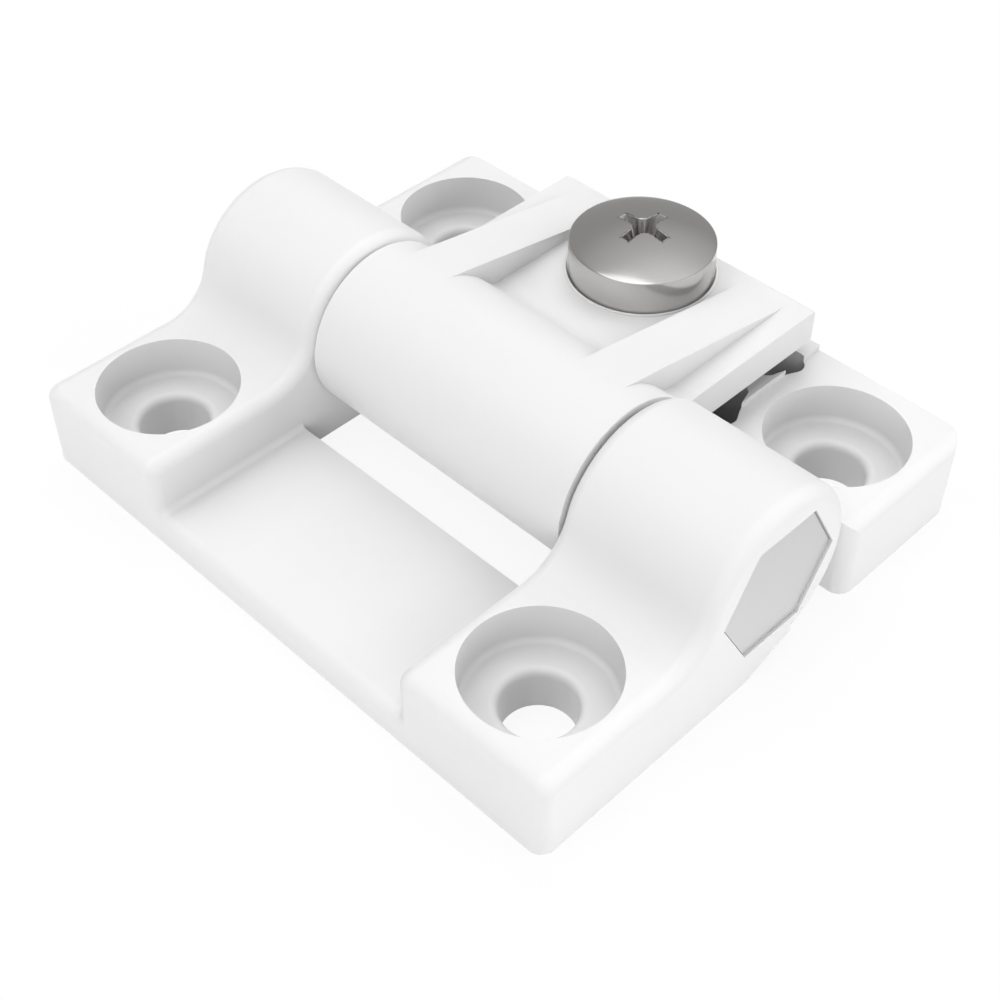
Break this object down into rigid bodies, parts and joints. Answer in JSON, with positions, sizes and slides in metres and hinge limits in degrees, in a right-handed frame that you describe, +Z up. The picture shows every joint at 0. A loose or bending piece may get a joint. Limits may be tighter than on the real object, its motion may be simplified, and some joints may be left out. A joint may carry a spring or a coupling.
{
  "type": "torque hinge",
  "caption": "Two-leaf friction hinge with counterbored pads and a split clamp barrel that a screw tightens on its pin.",
  "frame": {"origin": "centre of the mounting face, under the hinge pin's axis and halfway along it", "axes": "+X along the pin towards its hexagon end, +Y across the hinge towards the clamp leaf, +Z up from the mounting face"},
  "size_m": [0.054, 0.046, 0.0161],
  "materials": {
    "white_plastic": "fine satin",
    "pin_aluminium": "satin",
    "screw_steel": "polished",
    "nut_steel": "satin"
  },
  "bodies": {
    "fixed_leaf": {"knuckle_leaf": "white_plastic", "hinge_pin": "pin_aluminium"},
    "swinging_leaf": {"clamp_leaf": "white_plastic", "clamp_nut": "nut_steel"},
    "screw": {"adjusting_screw": "screw_steel"}
  },
  "joints": [
    {"name": "leaf_swing", "type": "hinge", "parent": "fixed_leaf", "child": "swinging_leaf", "pos_m": [0, 0, 0.0084], "axis": [1, 0, 0], "range_deg": [-90, 172]},
    {"name": "screw_turn", "type": "hinge", "parent": "swinging_leaf", "child": "screw", "pos_m": [0, 0.016, 0.012], "axis": [0, 0, 1], "range_deg": [-180, 180]}
  ]
}
